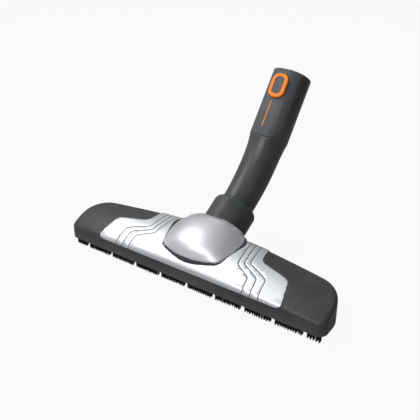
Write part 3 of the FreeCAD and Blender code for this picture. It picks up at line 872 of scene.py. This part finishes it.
@dataclass
class Head(SubAssembly):
    """The wide head: housing, silver panel, sole and the air duct inside.

    Attributes:
        floor_area: Smallest and largest floor of a groove, square metres.
        floor_rise: How far up a floor faces at least, 1 being straight up.
        shade_strip_lift: How high the strip of painted shade lies over a groove's floor, metres.
        shade_strip_thickness: Thickness of that strip of painted shade.
    """

    floor_area: tuple[float, float] = (0.00005, 0.0001)
    floor_rise: float = 0.5
    shade_strip_lift: float = 0.0002
    shade_strip_thickness: float = 0.00008

    def regions(self, mesh: Mesh) -> list[list[bmesh.types.BMFace]]:
        """Patches of faces that no sharp edge divides.

        Args:
            mesh: The surface, with its patches joined.

        Returns:
            The faces of each patch.
        """
        limit = math.radians(self.edge_angle)
        left = set(mesh.faces)
        found = []
        while left:
            region, stack = [], [left.pop()]
            while stack:
                face = stack.pop()
                region.append(face)
                for edge in face.edges:
                    if edge.is_manifold and edge.calc_face_angle() < limit:
                        near = [f for f in edge.link_faces if f in left]
                        left.difference_update(near)
                        stack += near
            found.append(region)
        return found

    def groove_shade_strip(self) -> None:
        """Lay a strip of darker grey on the floors of the panel's grooves. It is painted shade that darkens
        them as their own shade would.
        """
        mesh = self.welded("silver_panel")
        floors = set()
        for region in self.regions(mesh):
            area = sum(face.calc_area() for face in region)
            rise = sum(face.calc_area() * face.normal.z for face in region) / area
            if self.floor_area[0] < area < self.floor_area[1] and rise > self.floor_rise:
                floors.update(region)
        bmesh.ops.delete(mesh, geom=[f for f in mesh.faces if f not in floors], context="FACES")
        mesh.normal_update()
        for vert in mesh.verts:
            vert.co += vert.normal * self.shade_strip_lift
        bmesh.ops.solidify(mesh, geom=mesh.faces[:], thickness=self.shade_strip_thickness)
        # This strip is painted shade in the grooves, a darker grey over the silver.
        self.add(mesh, "groove_shade_strip", Body.HEAD, Look.GROOVE_SHADE, smooth=False, slot=Look.PANEL)

    def build(self) -> None:
        """Dress the head's solids."""
        self.soften("silver_panel", "upper_housing", "sole_plate")
        self.groove_shade_strip()
        self.wear(
            upper_housing=Look.HOUSING,
            silver_panel=Look.PANEL,
            sole_plate=Look.SOLE,
            sole_screws=Look.SCREW,
            suction_duct=Look.DUCT,
            knuckle_seal=Look.SEAL,
        )


@dataclass
class Cap(SubAssembly):
    """The pillow-shaped cap over the hub, whose top rolls into its walls without a crease.

    Attributes:
        voxel: Mesh size of the cap's skin, metres.
        passes: How often the skin is relaxed.
        pull: How far a point moves to its neighbours' middle at each pass.
        rim_band: Height over the lower rim that keeps its shape.
        rim_reach: Depth of the front and of the rear where the rim's height is read.
        rear_band: Depth of the rear edge that keeps its shape.
        heart: A point inside the cap, which tells its outer skin from its inner one.
    """

    voxel: float = 0.0007
    passes: int = 420
    pull: float = 0.5
    rim_band: float = 0.0022
    rim_reach: float = 0.004
    rear_band: float = 0.0025
    heart: Point = (0.0, -0.0712, 0.030)

    def build(self) -> None:
        """Make the soft cap in place of its plain solid."""
        self.wear(hub_cap=Look.CAP)
        skin = self.fine_skin()
        self.relax(skin)
        piece = self.add(skin, "soft_cap", Body.HEAD, Look.CAP)
        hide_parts("hub_cap")

    def fine_skin(self) -> Mesh:
        """The solid's surface as an even fine mesh."""
        maker = placed(self.welded("hub_cap"), "cap_solid")
        data = maker.data
        remesh = maker.modifiers.new("skin", "REMESH")
        remesh.mode = "VOXEL"
        remesh.voxel_size = self.voxel
        bpy.context.view_layer.update()
        even = maker.evaluated_get(bpy.context.evaluated_depsgraph_get())
        skin = bmesh.new()
        skin.from_mesh(even.to_mesh())
        even.to_mesh_clear()
        bpy.data.objects.remove(maker)
        bpy.data.meshes.remove(data)
        return skin

    def relax(self, skin: Mesh) -> None:
        """Smooth the outer skin, but not its rim and rear edge.

        Args:
            skin: The cap's mesh.
        """
        heart = Vector(self.heart)
        _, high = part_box("hub_cap")
        rim = self.rim_slope(skin)
        free = []
        for vert in skin.verts:
            outward = vert.normal.dot(vert.co - heart) > 0
            above = vert.co.z - rim(vert.co.y) > self.rim_band
            ahead = vert.co.y < high[1] - self.rear_band
            if outward and above and ahead:
                free.append(vert)
        axes = {"use_axis_x": True, "use_axis_y": True, "use_axis_z": True}
        for _ in range(self.passes):
            bmesh.ops.smooth_vert(skin, verts=free, factor=self.pull, **axes)
        log.info("the cap's skin is relaxed at %d of %d points", len(free), len(skin.verts))

    def rim_slope(self, skin: Mesh) -> Callable[[float], float]:
        """Height of the cap's lower rim along its length.

        Args:
            skin: The cap's mesh.

        Returns:
            A function from a place along Y to the rim's height there.
        """
        front = min(vert.co.y for vert in skin.verts)
        rear = max(vert.co.y for vert in skin.verts)
        ahead = min(vert.co.z for vert in skin.verts if vert.co.y < front + self.rim_reach)
        behind = min(vert.co.z for vert in skin.verts if vert.co.y > rear - self.rim_reach)
        return lambda y: ahead + (behind - ahead) * (y - front) / (rear - front)


@dataclass
class Brushes(SubAssembly):
    """Bristle strips along the front and behind the mouth. Lengths are in metres.

    Attributes:
        hair_radius: Radius of one bristle at its root.
        hair_taper: The radius at its tip, as a share of that.
        hair_sides: Faces around a bristle.
        hair_length: How far a bristle stands out of its root.
        hair_reach: Smallest and largest share of that length.
        hairs: Bristles in a tuft.
        tuft_pitch: Distance between tufts along a strip.
        tuft_size: Width and depth of a tuft.
        splay: How far the tips spread beyond the tuft's width.
        splay_depth: Their spread beyond its depth, as a share of splay.
        stray: How far a tip strays, as a share of splay.
        kinds: How many different tufts are made.
        seed_step: Distance between the seeds of two strips, more than the kinds of tuft.
        root_height: Height of the strip that holds the tufts.
        root_lap: How far it reaches past the tufts, and down over them.
        root_edge: Width of its bevelled edges.
        front_half: Half length of the front strip.
        front_y: Place of the front strip.
        notch_pitch: Distance between the gaps of the front strip.
        notch_width: Width of each gap.
        rear_span: Inner and outer end of a rear strip along X.
        rear_y: Place of the rear strip at its bend.
        bend_x: Where the rear strips bend forward.
        bend_y: Depth of that bend point.
        lean: Turn of the rear strips, degrees.
    """

    hair_radius: float = 0.00028
    hair_taper: float = 0.7
    hair_sides: int = 5
    hair_length: float = 0.0066
    hair_reach: tuple[float, float] = (0.985, 1.0)
    hairs: int = 30
    tuft_pitch: float = 0.00262
    tuft_size: tuple[float, float] = (0.00125, 0.0040)
    splay: float = 0.00004
    splay_depth: float = 0.4
    stray: float = 0.5
    kinds: int = 7
    seed_step: int = 100
    root_height: float = 0.0026
    root_lap: float = 0.0002
    root_edge: float = 0.0003
    front_half: float = 0.143
    front_y: float = (FRONT_BRISTLES_Y + DRAWING_SHIFT_Y) * MM
    notch_pitch: float = 0.032
    notch_width: float = 0.005
    rear_span: tuple[float, float] = (0.042, 0.124)
    rear_y: float = (HEAD_REAR_Y - REAR_BRISTLE_INSET + DRAWING_SHIFT_Y) * MM
    bend_x: float = 0.05
    bend_y: float = (HEAD_REAR_Y + DRAWING_SHIFT_Y) * MM
    lean: float = -6.64

    def tuft(self, seed: int) -> bpy.types.Mesh:
        """One tuft of separate bristles, standing on the origin.

        Args:
            seed: Which of the different tufts it is.

        Returns:
            The tuft's mesh.
        """
        chance = random.Random(seed)
        mesh = bmesh.new()
        half_x, half_y = self.tuft_size[0] / 2, self.tuft_size[1] / 2
        for _ in range(self.hairs):
            x, y = chance.uniform(-1, 1), chance.uniform(-1, 1)
            root = Vector((x * half_x, y * half_y, self.hair_length))
            reach = chance.uniform(*self.hair_reach) * self.hair_length
            spread_x, spread_y = half_x + self.splay, half_y + self.splay * self.splay_depth
            tip = Vector((x * spread_x, y * spread_y, self.hair_length - reach))
            tip += Vector((chance.uniform(-1, 1), chance.uniform(-1, 1), 0)) * self.splay * self.stray
            self.hair(mesh, tip, root)
        data = bpy.data.meshes.new(f"tuft_{seed}")
        mesh.to_mesh(data)
        mesh.free()
        return data

    def hair(self, mesh: Mesh, tip: Vector, root: Vector) -> None:
        """Add one bristle between two points.

        Args:
            mesh: The mesh it is added to.
            tip: Its lower end.
            root: Its upper end.
        """
        run = root - tip
        place = Matrix.Translation((tip + root) / 2) @ run.to_track_quat("Z", "Y").to_matrix().to_4x4()
        ends = {"radius1": self.hair_radius * self.hair_taper, "radius2": self.hair_radius, "cap_ends": True}
        bmesh.ops.create_cone(mesh, segments=self.hair_sides, depth=run.length, matrix=place, **ends)

    def strip(self, spans: list[tuple[float, float]], y: float, turn: Matrix, seed: int) -> Mesh:
        """A row of tufts on their common roots.

        Args:
            spans: Start and end of each stretch of tufts along X.
            y: The row's place.
            turn: How the row lies in the nozzle.
            seed: Start of the random choices.

        Returns:
            The row's mesh.
        """
        chance = random.Random(seed)
        kinds = [self.tuft(seed * self.seed_step + k) for k in range(self.kinds)]
        width = self.tuft_size[0]
        mesh = bmesh.new()
        for start, stop in spans:
            count = max(2, round((stop - start - width) / self.tuft_pitch) + 1)
            pitch = (stop - start - width) / (count - 1)
            for k in range(count):
                first = len(mesh.verts)
                mesh.from_mesh(chance.choice(kinds))
                mesh.verts.ensure_lookup_table()
                x = start + width / 2 + k * pitch
                flip = Matrix.Rotation(chance.choice((0.0, math.pi)), 4, "Z")
                place = turn @ Matrix.Translation((x, y, 0)) @ flip
                bmesh.ops.transform(mesh, matrix=place, verts=mesh.verts[first:])
        for start, stop in spans:
            self.root(mesh, start, stop, y, turn)
        for kind in kinds:
            bpy.data.meshes.remove(kind)
        return mesh

    def root(self, mesh: Mesh, start: float, stop: float, y: float, turn: Matrix) -> None:
        """Add the bar that holds a stretch of tufts.

        Args:
            mesh: The mesh it is added to.
            start: Its start along X.
            stop: Its end along X.
            y: Its place.
            turn: How the row lies in the nozzle.
        """
        size = (stop - start, self.tuft_size[1] + 2 * self.root_lap, self.root_height)
        middle = ((start + stop) / 2, y, self.hair_length - self.root_lap + self.root_height / 2)
        place = turn @ Matrix.Translation(middle) @ Matrix.Diagonal((*size, 1.0))
        bar = bmesh.ops.create_cube(mesh, size=1.0, matrix=place)
        edges = list({e for v in bar["verts"] for e in v.link_edges})
        form = {"offset_type": "OFFSET", "segments": 2, "profile": 0.5, "affect": "EDGES", "material": -1}
        bmesh.ops.bevel(mesh, geom=edges, offset=self.root_edge, **form)

    def front_spans(self) -> list[tuple[float, float]]:
        """Stretches of the front strip between its gaps."""
        spans = []
        start = -self.front_half
        gaps = int(self.front_half // self.notch_pitch)
        for k in range(-gaps, gaps + 1):
            stop = k * self.notch_pitch - self.notch_width / 2
            spans.append((start, stop))
            start = stop + self.notch_width
        spans.append((start, self.front_half))
        return spans

    def rear_turn(self, side: Side) -> Matrix:
        """How a rear strip lies: turned about its bend, and mirrored on the left."""
        hinge = Vector((self.bend_x, self.bend_y, 0))
        lean = Matrix.Rotation(math.radians(self.lean), 4, "Z")
        turn = Matrix.Translation(hinge) @ lean @ Matrix.Translation(-hinge)
        return Matrix.Diagonal((side.value, 1.0, 1.0, 1.0)) @ turn

    def build(self) -> None:
        """Make the bristle strips in place of their plain solids, and dress the carriers."""
        self.wear(
            front_bristle_carrier=Look.CARRIER,
            rear_bristle_carrier_left=Look.CARRIER,
            rear_bristle_carrier_right=Look.CARRIER,
        )
        front = self.strip(self.front_spans(), self.front_y, Matrix.Identity(4), seed=1)
        piece = self.add(front, "front_bristle_tufts", Body.HEAD, Look.BRISTLE, smooth=False)
        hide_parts("front_bristles")
        for side in Side:
            rear = self.strip([self.rear_span], self.rear_y, self.rear_turn(side), seed=2)
            if side is Side.LEFT:
                bmesh.ops.reverse_faces(rear, faces=rear.faces[:])
            piece = self.add(rear, f"rear_bristle_tufts_{side.word}", Body.HEAD, Look.BRISTLE, smooth=False)
            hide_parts(f"rear_bristles_{side.word}")
        self.wear(front_bristles=Look.BRISTLE)
        self.wear(rear_bristles_left=Look.BRISTLE, rear_bristles_right=Look.BRISTLE)


@dataclass
class Neck(SubAssembly):
    """The swivelling neck on its knuckle, with the socket for the tube."""

    def build(self) -> None:
        """Dress the knuckle, the ring, the neck and its cover."""
        self.soften("neck_cover", "neck_tube")
        self.wear(knuckle=Look.KNUCKLE, retaining_ring=Look.RING, neck_tube=Look.NECK, neck_cover=Look.COVER)


@dataclass
class Latch(SubAssembly):
    """The push button with its lever and spring."""

    def build(self) -> None:
        """Dress the button, the lever and the spring."""
        self.wear(button_ring=Look.BUTTON, button_pad=Look.PAD)
        self.wear(latch_lever=Look.LATCH, latch_spring=Look.SPRING)


@dataclass
class Wheels(SubAssembly):
    """The two rear wheels on their axles."""

    def build(self) -> None:
        """Dress the wheels and axles."""
        self.wear(rear_wheel_left=Look.WHEEL, rear_wheel_right=Look.WHEEL)
        self.wear(wheel_axle_left=Look.SCREW, wheel_axle_right=Look.SCREW)


# Studio


@dataclass(frozen=True)
class Lamp:
    """A soft box light.

    Attributes:
        name: Its name.
        place: Where it stands, metres.
        target: The point it faces.
        width: Its width.
        height: Its height.
        power: Its power in watts.
    """

    name: str
    place: Point
    target: Point
    width: float
    height: float
    power: float

    def build(self) -> None:
        """Put the light in the scene."""
        data = bpy.data.lights.new(self.name, "AREA")
        data.shape = "RECTANGLE"
        data.size = self.width
        data.size_y = self.height
        data.energy = self.power
        lamp = bpy.data.objects.new(self.name, data)
        lamp.location = self.place
        run = Vector(self.target) - Vector(self.place)
        lamp.rotation_euler = run.to_track_quat("-Z", "Y").to_euler()
        bpy.context.scene.collection.objects.link(lamp)


@dataclass
class Studio:
    """Pale floor, soft lights, and the camera of the picture.

    Attributes:
        camera_place: Where the camera stands, metres.
        azimuth: Its turn about the nozzle, degrees.
        elevation: Its height over the nozzle, degrees.
        lens: Its focal length, millimetres.
        sensor: Width of its sensor, millimetres.
        nearest: Nothing closer than this is seen, metres.
        floor_half: Half length of the floor's sides, metres.
        floor_drop: How far the floor lies under the nozzle's, metres.
        floor_roughness: Roughness of the floor.
        floor_white: Share of the floor that shows plain white to the camera.
        floor_bounce: How pale the floor is for the light that it throws back.
        world_light: Strength of the light from the bright side.
        world_dark: Strength of the light from the other side.
        world_span: Where the light starts and ends to grow, -1 being straight away from the bright side.
        world_white: Share of the surroundings that shows plain white to the camera.
        bright_side: Where the bright side lies.
        lamps: The lights.
    """

    camera_place: Point = (0.3355, -0.5260, 0.3720)
    azimuth: float = 35.675
    elevation: float = 28.0
    lens: float = 58.77
    sensor: float = 36.0
    nearest: float = 0.01
    floor_half: float = 6.0
    floor_drop: float = 0.0003
    floor_roughness: float = 0.7
    floor_white: float = 0.93
    floor_bounce: float = 0.4
    world_light: float = 0.62
    world_dark: float = 0.04
    world_span: tuple[float, float] = (-0.7, 1.0)
    world_white: float = 1.0
    bright_side: Point = (-0.55, -0.55, 0.6)
    lamps: tuple[Lamp, ...] = (
        Lamp("key_light", (-0.1, -0.95, 0.95), (0.0, -0.06, 0.04), 0.6, 0.4, 6.0),
        Lamp("left_light", (-0.6, -0.12, 0.9), (0.0, 0.03, 0.1), 0.5, 0.5, 4.0),
        Lamp("rear_light", (-0.3, 1.0, 0.8), (0.0, 0.0, 0.05), 0.9, 0.3, 1.0),
    )

    def build(self) -> None:
        """Set up the floor, the light and the camera."""
        self.make_floor()
        self.make_world()
        for lamp in self.lamps:
            lamp.build()
        self.make_camera()
        bpy.context.scene.view_settings.view_transform = "Standard"

    def make_floor(self) -> None:
        """A wide pale floor that keeps the nozzle's shadow."""
        mesh = bmesh.new()
        bmesh.ops.create_grid(mesh, x_segments=2, y_segments=2, size=self.floor_half)
        floor = placed(mesh, "floor")
        floor.location = (0.0, 0.0, -self.floor_drop)
        material = bpy.data.materials.new("floor_white")
        material.use_nodes = True
        tree = material.node_tree
        wires = Wiring(tree, tree.nodes["Material Output"])
        pale = tree.nodes["Principled BSDF"]
        wires.feed(pale.inputs["Base Color"], (self.floor_bounce,) * 3)
        wires.feed(pale.inputs["Roughness"], self.floor_roughness)
        glow = wires.node("Emission")
        wires.feed(glow.inputs["Color"], WHITE)
        self.show_white(wires, pale, glow, self.floor_white)
        floor.data.materials.append(material)

    def make_world(self) -> None:
        """Light from all around, stronger from one side, and white where the camera sees it."""
        world = bpy.data.worlds.new("studio")
        bpy.context.scene.world = world
        world.use_nodes = True
        tree = world.node_tree
        wires = Wiring(tree, tree.nodes["World Output"])
        aim = wires.node("VectorMath", operation="DOT_PRODUCT")
        wires.feed(aim.inputs[0], wires.node("TexCoord").outputs["Generated"])
        wires.feed(aim.inputs[1], Vector(self.bright_side).normalized())
        around = tree.nodes["Background"]
        strength = wires.spread(aim.outputs["Value"], *self.world_span, self.world_dark, self.world_light)
        wires.feed(around.inputs["Strength"], strength)
        seen = wires.node("Background")
        for light in (around, seen):
            wires.feed(light.inputs["Color"], WHITE)
        self.show_white(wires, around, seen, self.world_white)

    def show_white(self, wires: Wiring, lit: bpy.types.Node, white: bpy.types.Node, share: float) -> None:
        """Mix white into what the camera sees directly or through glass, but not into the nozzle's light.

        Args:
            wires: The node tree.
            lit: The shader that lights the nozzle.
            white: The plain white shader.
            share: Share of the white for such rays.
        """
        path = wires.node("LightPath")
        direct = wires.math("MAXIMUM", path.outputs["Is Camera Ray"], path.outputs["Is Transmission Ray"])
        mixer = wires.node("MixShader")
        wires.feed(mixer.inputs["Fac"], wires.math("MULTIPLY", direct, share))
        wires.feed(mixer.inputs[1], lit.outputs[0])
        wires.feed(mixer.inputs[2], white.outputs[0])
        wires.give("Surface", mixer.outputs[0])

    def make_camera(self) -> None:
        """The camera at the picture's angle."""
        data = bpy.data.cameras.new("camera")
        data.lens = self.lens
        data.sensor_width = self.sensor
        data.clip_start = self.nearest
        camera = bpy.data.objects.new("camera", data)
        camera.location = self.camera_place
        camera.rotation_euler = (math.radians(90 - self.elevation), 0.0, math.radians(self.azimuth))
        bpy.context.scene.collection.objects.link(camera)
        bpy.context.scene.camera = camera


def main() -> None:
    """Load the frame, dress and build every sub-assembly, and set up the studio."""
    logging.basicConfig(level=logging.INFO, format="%(name)s: %(message)s")
    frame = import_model()
    wardrobe = Wardrobe(Effects())
    for kind in (Head, Cap, Brushes, Neck, Latch, Wheels):
        kind(frame["nodes"], wardrobe).build()
        log.info("%s done", kind.__name__)
    Studio().build()


if __name__ == "__main__":
    main()
